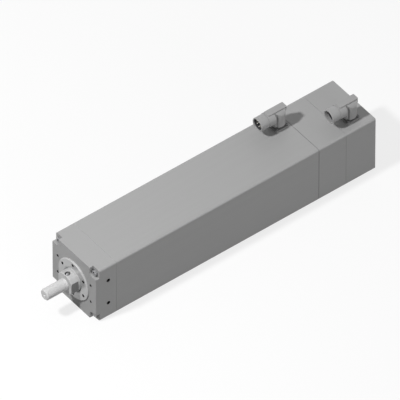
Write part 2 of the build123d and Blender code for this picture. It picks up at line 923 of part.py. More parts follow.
with BuildPart() as rod_stub:
    with BuildSketch(across(rod_front)):
        Circle(stub_radius)
    extrude(amount=stub_length)
    chamfer(rod_stub.edges().sort_by(Axis.X)[-1], length=stub_chamfer)
    with BuildSketch(across(rod_front)):
        Circle(stub_shank_radius)
    extrude(amount=-stub_shank_length)
save(rod_stub, "rod_stub")

nipple_seat = rod_radius - grease_port_depth
with BuildPart() as grease_nipple:
    with BuildSketch(Plane.XY.offset(nipple_seat)):
        with Locations((grease_port_x, 0)):
            RegularPolygon(nipple_hex / 2, 6, major_radius=False)
    extrude(amount=nipple_hex_height)
    with BuildSketch(Plane.XY.offset(nipple_seat)):
        with Locations((grease_port_x, 0)):
            Circle(nipple_thread_radius)
    extrude(amount=-nipple_thread_length)
    with BuildSketch(Plane.XY.offset(nipple_seat)):
        with Locations((grease_port_x, 0)):
            Circle(nipple_head_radius)
    extrude(amount=nipple_height)
    chamfer(grease_nipple.edges().sort_by(Axis.Z)[-1], length=nipple_chamfer)
save(grease_nipple, "grease_nipple")

rod_tube = turned_ring(rod_collar_front, nut_front - nut_socket_depth, rod_bore_radius, rod_radius)
save(rod_tube, "rod_tube")

with BuildPart() as screw_nut:
    with BuildSketch(across(nut_back)):
        Circle(nut_radius)
    extrude(amount=nut_length)
    chamfer(screw_nut.edges().filter_by(GeomType.CIRCLE), length=nut_chamfer)
    bore(
        [
            (nut_front, nut_back, screw_radius + screw_play),
            (nut_front, nut_front - nut_socket_depth, rod_radius + press_play),
        ]
    )
save(screw_nut, "screw_nut")

front_bumper = turned_ring(nut_front + bumper_length, nut_front, rod_radius + press_play, bumper_radius)
save(front_bumper, "front_bumper")
rear_bumper = turned_ring(nut_back, nut_back - bumper_length, bumper_bore_radius, bumper_radius)
save(rear_bumper, "rear_bumper")


# Turnable angled connectors
def connector_flange(x, y):
    """Square flange on the body, with the hole that the neck turns in."""
    with BuildPart() as flange:
        with BuildSketch(Plane.XY.offset(top_z)):
            with Locations((x, y)):
                RectangleRounded(flange_side, flange_side, flange_corner_radius)
                Circle(lead_hole_radius, mode=Mode.SUBTRACT)
            with Locations(*flange_screw_places(x, y)):
                Circle(flange_screw_radius + press_play, mode=Mode.SUBTRACT)
        extrude(amount=flange_thickness)
    return flange


def connector_flange_screws(x, y):
    """Four small screws that hold the flange."""
    return screws(
        Plane.XY.offset(top_z + flange_thickness),
        lambda: Locations(*flange_screw_places(x, y)),
        flange_screw_radius,
        flange_screw_length,
        flange_screw_head_radius,
        flange_screw_head_height,
    )


def connector_body(x, y):
    """Elbow: neck, upright drum with a round crown, waist, collar and barrel, and a flat pad along the top."""
    axis_z = top_z + barrel_axis_height
    neck_bottom = top_z + flange_thickness + turn_gap
    drum_bottom = neck_bottom + neck_height
    collar_back = x + drum_radius + collar_gap
    groove_back = collar_back + collar_length
    barrel_back = groove_back + groove_width
    mouth = x + barrel_reach
    waist_side_y = waist_half_width + drum_radius / 2
    with BuildPart() as body:
        with BuildSketch(Plane.XY.offset(drum_bottom)):
            with Locations((x, y)):
                Circle(drum_radius)
        extrude(amount=axis_z + drum_radius - drum_bottom)
        with BuildSketch(across(x - crown_radius)):
            with Locations((y, axis_z)):
                Circle(crown_radius)
            with Locations((y, (axis_z + drum_bottom) / 2)):
                Rectangle(2 * crown_radius, axis_z - drum_bottom)
        extrude(amount=2 * crown_radius, mode=Mode.INTERSECT)
        with BuildSketch(Plane.XY.offset(neck_bottom)):
            with Locations((x, y)):
                Circle(neck_radius)
        extrude(amount=axis_z - neck_bottom)
        for back, front, radius in (
            (x, groove_back, link_radius),
            (collar_back, groove_back, collar_radius),
            (groove_back, barrel_back, groove_radius),
            (barrel_back, mouth, barrel_radius),
        ):
            with BuildSketch(across(back)):
                with Locations((y, axis_z)):
                    Circle(radius)
            extrude(amount=front - back)
        with BuildSketch(Plane.XY.offset(axis_z + pad_root_height)):
            with Locations((x - drum_radius - pad_overhang + pad_length / 2, y)):
                RectangleRounded(pad_length, pad_width, pad_corner_radius)
        extrude(amount=pad_height - pad_root_height)
        with BuildSketch(Plane.XY.offset(neck_bottom)):
            with Locations(*[(collar_back - waist_length / 2, y + side * waist_side_y) for side in (1, -1)]):
                Rectangle(waist_length, drum_radius)
        extrude(amount=axis_z + waist_top_height - neck_bottom, mode=Mode.SUBTRACT)
        with BuildSketch(across(mouth)):
            with Locations((y, axis_z)):
                Circle(socket_radius)
        extrude(amount=-socket_depth, mode=Mode.SUBTRACT)
        mouth_edges = body.edges().filter_by(GeomType.CIRCLE).sort_by(Axis.X)[-2:]
        chamfer(mouth_edges, length=mouth_chamfer)
        with BuildSketch(across(x)):
            with Locations((y, axis_z)):
                Circle(lead_bore_radius)
        extrude(amount=barrel_reach - socket_depth, mode=Mode.SUBTRACT)
        with BuildSketch(Plane.XY.offset(neck_bottom)):
            with Locations((x, y)):
                Circle(lead_hole_radius)
        extrude(amount=axis_z - neck_bottom, mode=Mode.SUBTRACT)
    return body


def connector_ring(x, y):
    """Flat rubber ring in the groove between collar and barrel."""
    ring_back = x + drum_radius + collar_gap + collar_length + ring_side_play
    with BuildPart() as ring:
        with BuildSketch(across(ring_back)):
            with Locations((y, top_z + barrel_axis_height)):
                Circle(groove_radius + ring_thickness)
                Circle(groove_radius, mode=Mode.SUBTRACT)
        extrude(amount=groove_width - 2 * ring_side_play)
    return ring


def connector_insert(x, y, depth, rim_depth, hole_radius, circle_radius, count):
    """Plastic cup in the barrel: a floor drilled for the contacts and a rim that lines the socket."""
    with BuildPart() as insert:
        with BuildSketch(across(x + barrel_reach - socket_depth)):
            with Locations((y, top_z + barrel_axis_height)):
                Circle(socket_radius - insert_play)
                with PolarLocations(circle_radius, count, 90):
                    Circle(hole_radius + insert_play, mode=Mode.SUBTRACT)
        extrude(amount=socket_depth - depth)
        with BuildSketch(across(x + barrel_reach - depth)):
            with Locations((y, top_z + barrel_axis_height)):
                Circle(socket_radius - insert_play)
                Circle(socket_radius - insert_play - insert_rim_width, mode=Mode.SUBTRACT)
        extrude(amount=depth - rim_depth)
    return insert


def connector_pins(x, y, tip_depth, radius, circle_radius, count):
    """Round contacts standing out of the insert."""
    with BuildPart() as pins:
        with BuildSketch(across(x + barrel_reach - socket_depth)):
            with Locations((y, top_z + barrel_axis_height)):
                with PolarLocations(circle_radius, count, 90):
                    Circle(radius)
        extrude(amount=socket_depth - tip_depth)
    return pins


connectors = [
    (
        "power", power_connector_x, power_connector_y, power_insert_depth, power_rim_depth,
        power_pin_tip_depth, power_pin_radius, power_pin_circle_radius, power_pin_count,
    ),
    (
        "signal", signal_connector_x, signal_connector_y, signal_insert_depth, signal_rim_depth,
        signal_pin_tip_depth, signal_pin_radius, signal_pin_circle_radius, signal_pin_count,
    ),
]
for title, x, y, insert_depth, rim_depth, tip_depth, pin_radius, circle_radius, pin_count in connectors:
    save(connector_flange(x, y), f"{title}_connector_flange")
    save(connector_flange_screws(x, y), f"{title}_connector_screws")
    save(connector_body(x, y), f"{title}_connector_body")
    save(connector_ring(x, y), f"{title}_connector_ring")
    save(
        connector_insert(x, y, insert_depth, rim_depth, pin_radius, circle_radius, pin_count),
        f"{title}_connector_insert",
    )
    save(
        connector_pins(x, y, tip_depth, pin_radius, circle_radius, pin_count),
        f"{title}_connector_pins",
    )
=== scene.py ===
import json
import math

import bpy
import numpy as np
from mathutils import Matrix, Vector


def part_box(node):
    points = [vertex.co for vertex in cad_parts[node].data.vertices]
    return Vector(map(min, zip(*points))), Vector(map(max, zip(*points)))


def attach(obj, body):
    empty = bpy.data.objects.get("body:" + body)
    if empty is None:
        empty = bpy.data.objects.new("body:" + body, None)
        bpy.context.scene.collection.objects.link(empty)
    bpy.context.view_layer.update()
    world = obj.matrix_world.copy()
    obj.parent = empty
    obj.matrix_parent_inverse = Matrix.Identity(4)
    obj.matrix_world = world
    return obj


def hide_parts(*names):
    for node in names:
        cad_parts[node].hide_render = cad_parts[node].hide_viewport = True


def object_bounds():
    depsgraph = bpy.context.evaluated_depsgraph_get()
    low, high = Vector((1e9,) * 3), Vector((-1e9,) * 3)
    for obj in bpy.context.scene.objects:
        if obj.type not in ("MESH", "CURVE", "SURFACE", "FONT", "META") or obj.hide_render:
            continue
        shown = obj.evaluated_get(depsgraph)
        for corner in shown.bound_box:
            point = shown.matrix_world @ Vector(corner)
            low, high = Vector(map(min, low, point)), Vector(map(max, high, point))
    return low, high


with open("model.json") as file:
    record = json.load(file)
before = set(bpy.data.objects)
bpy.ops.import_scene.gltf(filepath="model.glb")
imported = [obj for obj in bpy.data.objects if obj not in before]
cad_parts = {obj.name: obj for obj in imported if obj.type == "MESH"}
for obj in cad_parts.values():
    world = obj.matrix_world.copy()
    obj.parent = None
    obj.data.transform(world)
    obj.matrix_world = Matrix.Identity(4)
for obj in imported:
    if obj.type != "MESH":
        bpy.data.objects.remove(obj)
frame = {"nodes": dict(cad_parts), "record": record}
cad_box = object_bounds()

# Camera: a long lens far off, so that parallel edges of the body stay parallel
VIEW_AZIMUTH = math.radians(142.04)
VIEW_ELEVATION = math.radians(45.06)
VIEW_WIDTH = 0.6349
VIEW_TARGET = Vector((-0.2524, 0.0, 0.0204))
LENS_MM = 1600.0
SENSOR_MM = 36.0

# Light: one soft lamp in front of and above the head, a weak one at each side, and a sky
# that gets dimmer towards the front. The floor and the sky look white in the picture itself.
KEY_DIRECTION = Vector((0.53, -0.075, 0.85))
LAMP_DISTANCE = 2.8
KEY_SIZE = 0.26
KEY_POWER = 77.5
FILLS = ((Vector((0.1, 1.0, 0.06)), 1.33), (Vector((-0.6, -1.0, 0.06)), 0.3))
FILL_SPREAD = math.radians(40.0)
SKY_LEVEL = 0.31
SKY_SLOPE = 0.95
SEEN_SKY_LEVEL = 0.97
WHITE = (1.0, 1.0, 1.0, 1.0)
FLOOR_SIZE = 12.0
FLOOR_GAP = 0.0001
FLOOR_SHADE = (0.1, 0.1, 0.1, 1.0)
FLOOR_GLOW = 0.957
FLOOR_GLOW_SHARE = 0.8

# Waves of the noise in one metre, and how much the lines of a drawn skin are stretched
BROAD_PATCHES = 18.0
SMALL_PATCHES = 140.0
PROFILE_BANDS = 160.0
RING_BANDS = 300.0
WEAR_PATCHES = 420.0
SHEEN_PATCHES = 30.0
SHEEN_SCUFFS = 700.0
DRAWN_STRETCH = (0.012, 1.0, 1.0)
PALE_PLATING = (0.62, 0.6, 0.54)

# How far a mask reaches past an edge or blurs it, in metres
FLAT_TOLERANCE = 0.00004
BORE_TOLERANCE = 0.00002
RIM_BLUR = 0.0002

# Sizes of the small pieces in millimetres. Their places come from the CAD nodes, apart from those
# of the tapped holes: a pair across the hole's axis in the face, and X and Z in the sides.
MM = 0.001
SHARP_ANGLE = math.radians(28.0)
CORNER_SCREW = dict(
    radius=3.0, head_radius=5.0, head_height=6.0, key_width=5.0, key_depth=3.0,
    knurl_depth=0.16, knurl_count=36,
)
COVER_SCREW = dict(
    radius=1.5, head_radius=2.6, head_height=3.0, key_width=2.5, key_depth=1.5,
    knurl_depth=0.0, knurl_count=1,
)
FLANGE_SCREW = dict(
    radius=1.25, head_radius=2.2, head_height=2.4, key_width=2.0, key_depth=1.3,
    knurl_depth=0.0, knurl_count=1,
)
KNURLED_STEPS = 144
PLAIN_STEPS = 48
COVER_SCREW_COUNT = 6
COVER_SCREW_PITCH = math.radians(60.0)
COVER_SCREW_START = math.radians(30.0)
FACE_HOLES = ((-42.7, -18.0), (-42.7, 18.0), (42.7, -18.0), (42.7, 18.0))
FACE_THREAD = dict(radius=2.5, depth=14.0, pitch=1.0)
SIDE_HOLES = ((-25.0, -25.2), (-25.0, 25.2))
SIDE_THREAD = dict(radius=3.4, depth=13.0, pitch=1.25)
MOUTH_DEPTH = 0.08
SLEEVE_CLEARANCE = 0.08
SLEEVE_WALL = 0.3
STUB_STEPS = 96
STUB_ROWS_PER_TURN = 12
STUB_SHOULDER = 18.6
STUB_SHANK_RADIUS = 7.0
STUB_CHAMFER = 1.6
STUB_PLAIN_LENGTH = 2.0
STUB_FADE_LENGTH = 1.5
STUB_THREAD_PITCH = 1.5
STUB_THREAD_DEPTH = 0.92
CENTRE_HOLE_RADIUS = 2.2
CENTRE_HOLE_TIP = 0.3
CENTRE_HOLE_DEPTH = 2.6
NIPPLE_HEIGHT = 5.2
NIPPLE_HEX = 7.0
NIPPLE_STEPS = 72
CONTACTS = {
    "power": dict(radius=1.0, circle=6.0, count=6),
    "signal": dict(radius=0.5, circle=6.6, count=12),
}
CONTACT_TIP_RADIUS = 0.03
CONTACT_STEPS = 24


def new_camera():
    """Camera that looks at the body from front left above, as wide as the picture is there."""
    distance = VIEW_WIDTH * LENS_MM / SENSOR_MM
    back = Vector((
        math.sin(VIEW_AZIMUTH) * math.cos(VIEW_ELEVATION),
        -math.cos(VIEW_AZIMUTH) * math.cos(VIEW_ELEVATION),
        math.sin(VIEW_ELEVATION),
    ))
    data = bpy.data.cameras.new("camera")
    data.lens = LENS_MM
    data.sensor_width = SENSOR_MM
    data.clip_start = 0.1
    data.clip_end = 2 * distance
    camera = bpy.data.objects.new("camera", data)
    camera.location = VIEW_TARGET + back * distance
    camera.rotation_mode = "QUATERNION"
    camera.rotation_quaternion = (-back).to_track_quat("-Z", "Y")
    bpy.context.scene.collection.objects.link(camera)
    bpy.context.scene.camera = camera


def new_lamp(name, kind, direction, **settings):
    """Lamp that shines at the view target from the given direction."""
    data = bpy.data.lights.new(name, kind)
    for setting, value in settings.items():
        setattr(data, setting, value)
    lamp = bpy.data.objects.new(name, data)
    aim = direction.normalized()
    lamp.location = aim * LAMP_DISTANCE
    lamp.rotation_mode = "QUATERNION"
    lamp.rotation_quaternion = (-aim).to_track_quat("-Z", "Y")
    bpy.context.scene.collection.objects.link(lamp)


class Nodes:
    """A node tree in the making: each call adds a node, sets its values and links its inputs."""

    def __init__(self, tree):
        self.tree = tree
        tree.nodes.clear()

    def add(self, kind, values=None, **settings):
        node = self.tree.nodes.new(kind)
        for setting, value in settings.items():
            setattr(node, setting, value)
        for socket, value in (values or {}).items():
            if isinstance(value, bpy.types.NodeSocket):
                self.tree.links.new(value, node.inputs[socket])
            else:
                node.inputs[socket].default_value = value
        return node

    def math(self, operation, first, second=0.0, third=0.0):
        values = {0: first, 1: second, 2: third}
        return self.add("ShaderNodeMath", values, operation=operation).outputs[0]

    def noise(self, vector, scale, detail=2.0):
        values = {"Vector": vector, "Scale": scale, "Detail": detail}
        return self.add("ShaderNodeTexNoise", values).outputs["Fac"]

    def noise_along(self, distance, scale, detail):
        values = {"W": distance, "Scale": scale, "Detail": detail}
        return self.add("ShaderNodeTexNoise", values, noise_dimensions="1D").outputs["Fac"]

    def scaled(self, vector, factors):
        return self.add("ShaderNodeVectorMath", {0: vector, 1: factors}, operation="MULTIPLY").outputs[0]

    def axis_distance(self, vector):
        """Distance of a place from the rod axis."""
        flat = self.scaled(vector, (0.0, 1.0, 1.0))
        return self.add("ShaderNodeVectorMath", {0: flat}, operation="LENGTH").outputs["Value"]

    def ramp(self, value, low, high, start=0.0, end=1.0, interpolation="LINEAR"):
        """A number that goes from start to end while the value goes from low to high, and no further."""
        values = {"Value": value, "From Min": low, "From Max": high, "To Min": start, "To Max": end}
        return self.add("ShaderNodeMapRange", values, interpolation_type=interpolation).outputs["Result"]


def new_group(name, inputs, outputs):
    """Shader node group with named sockets; returns its nodes, its input sockets and its output node."""
    tree = bpy.data.node_groups.new(name, "ShaderNodeTree")
    nodes = Nodes(tree)
    for socket, kind, default in inputs:
        made = tree.interface.new_socket(name=socket, in_out="INPUT", socket_type=kind)
        if default is not None:
            made.default_value = default
    for socket, kind in outputs:
        tree.interface.new_socket(name=socket, in_out="OUTPUT", socket_type=kind)
    entry = nodes.add("NodeGroupInput").outputs
    leave = nodes.add("NodeGroupOutput")
    return nodes, entry, leave


def join(nodes, leave, results):
    """Link results to the output node of a group."""
    for socket, value in results.items():
        nodes.tree.links.new(value, leave.inputs[socket])


def blasted_grain():
    """Fine even grain of a blasted and anodised skin, with broad soft patches of tone."""
    nodes, entry, leave = new_group(
        "blasted_grain",
        [("Vector", "NodeSocketVector", None), ("Grain", "NodeSocketFloat", 0.0005)],
        [("Height", "NodeSocketFloat"), ("Tone", "NodeSocketFloat")],
    )
    scale = nodes.math("DIVIDE", 1.0, entry["Grain"])
    fine = nodes.noise(entry["Vector"], scale, 3.0)
    broad = nodes.noise(entry["Vector"], BROAD_PATCHES)
    small = nodes.noise(entry["Vector"], SMALL_PATCHES)
    tone = nodes.math("MULTIPLY_ADD", small, 0.35, nodes.math("MULTIPLY", broad, 0.65))
    join(nodes, leave, {"Height": fine, "Tone": tone})
    return nodes.tree


def drawn_lines():
    """Long faint lines along the rod axis, as an extrusion die leaves them on a profile."""
    nodes, entry, leave = new_group(
        "drawn_lines",
        [("Vector", "NodeSocketVector", None), ("Spacing", "NodeSocketFloat", 0.0006)],
        [("Height", "NodeSocketFloat"), ("Tone", "NodeSocketFloat")],
    )
    stretched = nodes.scaled(entry["Vector"], DRAWN_STRETCH)
    scale = nodes.math("DIVIDE", 1.0, entry["Spacing"])
    lines = nodes.noise(stretched, scale, 3.0)
    bands = nodes.noise(stretched, PROFILE_BANDS)
    join(nodes, leave, {"Height": lines, "Tone": bands})
    return nodes.tree


def turned_rings():
    """Rings round the rod axis, as a lathe tool leaves them on a face; they depend on the radius only."""
    nodes, entry, leave = new_group(
        "turned_rings",
        [("Vector", "NodeSocketVector", None), ("Spacing", "NodeSocketFloat", 0.0004)],
        [("Height", "NodeSocketFloat"), ("Tone", "NodeSocketFloat")],
    )
    radius = nodes.axis_distance(entry["Vector"])
    rings = nodes.noise_along(nodes.math("DIVIDE", radius, entry["Spacing"]), 1.0, 2.0)
    bands = nodes.noise_along(radius, RING_BANDS, 1.0)
    join(nodes, leave, {"Height": rings, "Tone": bands})
    return nodes.tree


def worn_edge():
    """Mask of rubbed metal along the four long edges of the square body, broken up by noise."""
    nodes, entry, leave = new_group(
        "worn_edge",
        [
            ("Vector", "NodeSocketVector", None),
            ("Half Side", "NodeSocketFloat", 0.056),
            ("Width", "NodeSocketFloat", 0.003),
        ],
        [("Mask", "NodeSocketFloat")],
    )
    place = nodes.add("ShaderNodeSeparateXYZ", {0: entry["Vector"]}).outputs
    nearer = nodes.math("MINIMUM", nodes.math("ABSOLUTE", place["Y"]), nodes.math("ABSOLUTE", place["Z"]))
    distance = nodes.math("SUBTRACT", entry["Half Side"], nearer)
    near = nodes.ramp(distance, 0.0, entry["Width"], 1.0, 0.0, "SMOOTHSTEP")
    patches = nodes.ramp(nodes.noise(entry["Vector"], WEAR_PATCHES, 4.0), 0.42, 0.7)
    join(nodes, leave, {"Mask": nodes.math("MULTIPLY", near, patches)})
    return nodes.tree


def painted_flat_and_port_shade():
    """Mask of painted shade on the two spanner flats and in the bore of the grease port."""
    nodes, entry, leave = new_group(
        "painted_flat_and_port_shade",
        [
            ("Vector", "NodeSocketVector", None),
            ("Flat Half Width", "NodeSocketFloat", 0.017),
            ("Port Place", "NodeSocketFloat", 0.0133),
            ("Port Radius", "NodeSocketFloat", 0.0046),
        ],
        [("Mask", "NodeSocketFloat")],
    )
    place = nodes.add("ShaderNodeSeparateXYZ", {0: entry["Vector"]}).outputs
    sideways = nodes.math("ABSOLUTE", place["Y"])
    flat = nodes.math("COMPARE", sideways, entry["Flat Half Width"], FLAT_TOLERANCE)
    along = nodes.math("SUBTRACT", place["X"], entry["Port Place"])
    square = nodes.math("MULTIPLY_ADD", along, along, nodes.math("MULTIPLY", place["Y"], place["Y"]))
    rim = nodes.math("ADD", entry["Port Radius"], BORE_TOLERANCE)
    inside = nodes.math("LESS_THAN", nodes.math("SQRT", square), rim)
    port = nodes.math("MULTIPLY", inside, nodes.math("GREATER_THAN", place["Z"], 0.0))
    join(nodes, leave, {"Mask": nodes.math("MAXIMUM", flat, port)})
    return nodes.tree


def painted_bore_shade():
    """Mask of painted shade in the round bores of a ring of screws: near enough to the axis of the nearest
    one.
    """
    nodes, entry, leave = new_group(
        "painted_bore_shade",
        [
            ("Vector", "NodeSocketVector", None),
            ("Circle Radius", "NodeSocketFloat", 0.031),
            ("Bore Radius", "NodeSocketFloat", 0.00284),
        ],
        [("Mask", "NodeSocketFloat")],
    )
    place = nodes.add("ShaderNodeSeparateXYZ", {0: entry["Vector"]}).outputs
    angle = nodes.math("ARCTAN2", place["Z"], place["Y"])
    turn = nodes.math("SUBTRACT", nodes.math("WRAP", angle, COVER_SCREW_PITCH, 0.0), COVER_SCREW_START)
    radius = nodes.axis_distance(entry["Vector"])
    outward = nodes.math("MULTIPLY", radius, nodes.math("COSINE", turn))
    outward = nodes.math("SUBTRACT", outward, entry["Circle Radius"])
    sideways = nodes.math("MULTIPLY", radius, nodes.math("SINE", turn))
    square = nodes.math("MULTIPLY_ADD", outward, outward, nodes.math("MULTIPLY", sideways, sideways))
    inside = nodes.math("LESS_THAN", nodes.math("SQRT", square), entry["Bore Radius"])
    join(nodes, leave, {"Mask": inside})
    return nodes.tree


def painted_rim_highlight():
    """Mask of a painted highlight on the chamfer round a disc: from a little inside its rim outwards."""
    nodes, entry, leave = new_group(
        "painted_rim_highlight",
        [("Vector", "NodeSocketVector", None), ("Start", "NodeSocketFloat", 0.0368)],
        [("Mask", "NodeSocketFloat")],
    )
    end = nodes.math("ADD", entry["Start"], RIM_BLUR)
    mask = nodes.ramp(nodes.axis_distance(entry["Vector"]), entry["Start"], end, 0.0, 1.0, "SMOOTHSTEP")
    join(nodes, leave, {"Mask": mask})
    return nodes.tree


def handled_sheen():
    """Soft patches where hands and cloths have made a surface smoother or duller."""
    nodes, entry, leave = new_group(
        "handled_sheen",
        [
            ("Vector", "NodeSocketVector", None),
            ("Roughness", "NodeSocketFloat", 0.4),
            ("Spread", "NodeSocketFloat", 0.06),
        ],
        [("Roughness", "NodeSocketFloat")],
    )
    patches = nodes.math("SUBTRACT", nodes.noise(entry["Vector"], SHEEN_PATCHES, 3.0), 0.5)
    scuffs = nodes.math("SUBTRACT", nodes.noise(entry["Vector"], SHEEN_SCUFFS), 0.5)
    both = nodes.math("MULTIPLY_ADD", scuffs, 0.5, patches)
    swing = nodes.math("MULTIPLY", entry["Spread"], 2.0)
    join(nodes, leave, {"Roughness": nodes.math("MULTIPLY_ADD", both, swing, entry["Roughness"])})
    return nodes.tree


SKINS = (blasted_grain, drawn_lines, turned_rings, handled_sheen)
TOUCHES = (worn_edge, painted_flat_and_port_shade, painted_bore_shade, painted_rim_highlight)
EFFECTS = {make.__name__: make() for make in SKINS + TOUCHES}
SLOT_COLOURS = {slot["slot"]: slot["base_color"][:3] for slot in frame["record"]["materials"]}


def tint(colour, factor):
    """The colour made lighter or darker by a factor, as a shader colour."""
    return tuple(min(1.0, part * factor) for part in colour) + (1.0,)


def mix_colours(nodes, factor, first, second):
    """Colour mixed between two colours, given as values or sockets."""
    mix = nodes.add("ShaderNodeMix", data_type="RGBA")
    for socket, value in ((0, factor), (6, first), (7, second)):
        if isinstance(value, bpy.types.NodeSocket):
            nodes.tree.links.new(value, mix.inputs[socket])
        else:
            mix.inputs[socket].default_value = value
    return mix.outputs[2]


def new_finish(
    name, colour, effect, size, *, metallic, roughness, spread, contrast, relief, specular=0.5, touches=()
):
    """One finish: tone and height from an effect group, and roughness from the sheen group.

    Each touch is the name of a mask group and how much lighter or darker the masked places are.
    """
    material = bpy.data.materials.new(name)
    material.use_nodes = True
    nodes = Nodes(material.node_tree)
    place = nodes.add("ShaderNodeTexCoord").outputs["Object"]
    skin = nodes.add("ShaderNodeGroup", node_tree=EFFECTS[effect])
    nodes.tree.links.new(place, skin.inputs["Vector"])
    skin.inputs[1].default_value = size
    darker, lighter = tint(colour, 1.0 - contrast), tint(colour, 1.0 + contrast)
    tones = mix_colours(nodes, skin.outputs["Tone"], darker, lighter)
    for touch, gain in touches:
        places = nodes.add("ShaderNodeGroup", node_tree=EFFECTS[touch])
        nodes.tree.links.new(place, places.inputs["Vector"])
        tones = mix_colours(nodes, places.outputs["Mask"], tones, tint(colour, gain))
    sheen = nodes.add("ShaderNodeGroup", node_tree=EFFECTS["handled_sheen"])
    nodes.tree.links.new(place, sheen.inputs["Vector"])
    sheen.inputs["Roughness"].default_value = roughness
    sheen.inputs["Spread"].default_value = spread
    bump = nodes.add(
        "ShaderNodeBump", {"Height": skin.outputs["Height"], "Strength": 1.0, "Distance": relief}
    )
    shader = nodes.add(
        "ShaderNodeBsdfPrincipled",
        {
            "Base Color": tones,
            "Metallic": metallic,
            "Specular IOR Level": specular,
            "Roughness": sheen.outputs["Roughness"],
            "Normal": bump.outputs["Normal"],
        },
    )
    nodes.add("ShaderNodeOutputMaterial", {"Surface": shader.outputs["BSDF"]})
    return material


def finish(name, slot, effect, size, shade=1.0, **looks):
    """A finish in the colour that the record gives to a slot, or in a shade of it."""
    return new_finish(name, tint(SLOT_COLOURS[slot], shade)[:3], effect, size, **looks)


HOUSING = dict(metallic=0.0, roughness=0.5, spread=0.05, contrast=0.03, relief=0.00002)
MACHINED = dict(metallic=0.4, roughness=0.34, spread=0.05, contrast=0.05, relief=0.00001)
PLATED = dict(metallic=0.12, roughness=0.42, spread=0.05, contrast=0.05, relief=0.00001)
BLACKENED = dict(metallic=0.0, roughness=0.7, spread=0.05, contrast=0.05, relief=0.00001, specular=0.1)
MOULDED = dict(metallic=0.0, roughness=0.6, spread=0.05, contrast=0.08, relief=0.00003)
EDGES = dict(touches=[("worn_edge", 1.14)])
# The cover's chamfered rim is lighter by 1.35: a painted highlight.
# The cover's screw bores are nearly black: painted shade in the holes.
COVER = dict(touches=[("painted_rim_highlight", 1.35), ("painted_bore_shade", 0.05)])
# The rod end's spanner flats and grease port are darker by 0.42: painted shade.
ROD_END = dict(touches=[("painted_flat_and_port_shade", 0.42)])
FINISHES = {
    "anodised_grey": finish("blasted_housing", "anodised_grey", "blasted_grain", 0.0006, **HOUSING, **EDGES),
    "cast_grey": finish("cast_connector", "cast_grey", "blasted_grain", 0.0005, 0.96, **HOUSING),
    "pilot_steel": finish("turned_cover", "pilot_steel", "turned_rings", 0.0004, **MACHINED, **COVER),
    "bolt_steel": finish("plated_bolt", "bolt_steel", "blasted_grain", 0.0004, **MACHINED),
    "rod_chrome": finish("ground_chrome", "rod_chrome", "drawn_lines", 0.0003, **PLATED),
    "bearing_steel": finish("ground_steel", "bearing_steel", "turned_rings", 0.0003, **MACHINED),
    "core_steel": finish("core_sheets", "core_steel", "turned_rings", 0.0005, **MACHINED),
    "winding_copper": finish("winding_wire", "winding_copper", "drawn_lines", 0.0010, **MACHINED),
    "magnet_grey": finish("bonded_magnet", "magnet_grey", "blasted_grain", 0.0008, **HOUSING),
    "bronze": finish("sintered_bronze", "bronze", "blasted_grain", 0.0004, **MACHINED),
    "seal_rubber": finish("seal_rubber", "seal_rubber", "blasted_grain", 0.0004, **MOULDED),
    "gasket_grey": finish("gasket_sheet", "gasket_grey", "blasted_grain", 0.0004, **MOULDED),
    "wiper_grey": finish("wiper_lip", "wiper_grey", "turned_rings", 0.0006, **MOULDED),
    # The inserts are black plastic, darkened further as painted shade for the depth of the socket.
    "insert_plastic": finish("insert_plastic", "insert_plastic", "blasted_grain", 0.0005, 0.4, **MOULDED),
    "contact_gold": new_finish("contact_plating", PALE_PLATING, "drawn_lines", 0.0003, **MACHINED),
    "encoder_plastic": finish("encoder_shell", "encoder_plastic", "blasted_grain", 0.0005, **MOULDED),
    "cage_polymer": finish("cage_polymer", "cage_polymer", "blasted_grain", 0.0005, **MOULDED),
    "drawn_profile": finish("drawn_profile", "anodised_grey", "drawn_lines", 0.0007, **HOUSING, **EDGES),
    "rod_end_plating": finish(
        "rod_end_plating", "rod_chrome", "drawn_lines", 0.0003, 0.8, **PLATED, **ROD_END
    ),
    # The connector flanges are darker than the cast grey: painted shade under the connectors.
    "flange_casting_painted_shade": finish("flange_casting_painted_shade", "cast_grey", "blasted_grain", 0.0005, 0.62, **HOUSING),
    # The flange screws are darker than the bolt steel: painted shade under the connectors.
    "painted_shade_flange_screw": finish("painted_shade_flange_screw", "bolt_steel", "blasted_grain", 0.0004, 0.5, **MACHINED),
    # The connector rings are lighter than the gasket grey: painted light that lifts the shade round them.
    "painted_light_ring_rubber": finish("painted_light_ring_rubber", "gasket_grey", "blasted_grain", 0.0004, 1.6, **MOULDED),
    # The cover screws are black oxide, made near black so that they also stand for the shade in their bores:
    # partly painted shade.
    "black_screw_painted_shade": finish("black_screw_painted_shade", "bolt_steel", "blasted_grain", 0.0004, 0.1, **BLACKENED),
    # The hole threads are nearly black: painted shade inside the tapped holes.
    "thread_painted_shade": finish("thread_painted_shade", "anodised_grey", "blasted_grain", 0.0004, 0.05, **BLACKENED),
}
NODE_FINISHES = {
    "motor_tube": "drawn_profile",
    "rod_end": "rod_end_plating",
    "power_connector_flange": "flange_casting_painted_shade",
    "signal_connector_flange": "flange_casting_painted_shade",
    "power_connector_ring": "painted_light_ring_rubber",
    "signal_connector_ring": "painted_light_ring_rubber",
}


def dress_nodes():
    """Give every carried-over node the finish of its slot, or its own where NODE_FINISHES has one."""
    for part in frame["record"]["subparts"]:
        material = FINISHES[NODE_FINISHES.get(part["node"], part["material_slot"])]
        mesh = frame["nodes"][part["node"]].data
        mesh.materials.clear()
        mesh.materials.append(material)


def hexagon(half_width):
    """Radius of a hexagon: half its width over the cosine of the turn from the middle of the nearest flat."""
    return lambda turn: half_width / np.cos((turn + np.pi / 6) % (np.pi / 3) - np.pi / 6)


def knurl(radius, depth, count):
    """Radius of a knurled rim: the full radius less a cosine wave with as many valleys as the count."""
    return lambda turn: radius - depth * (0.5 - 0.5 * np.cos(count * turn))


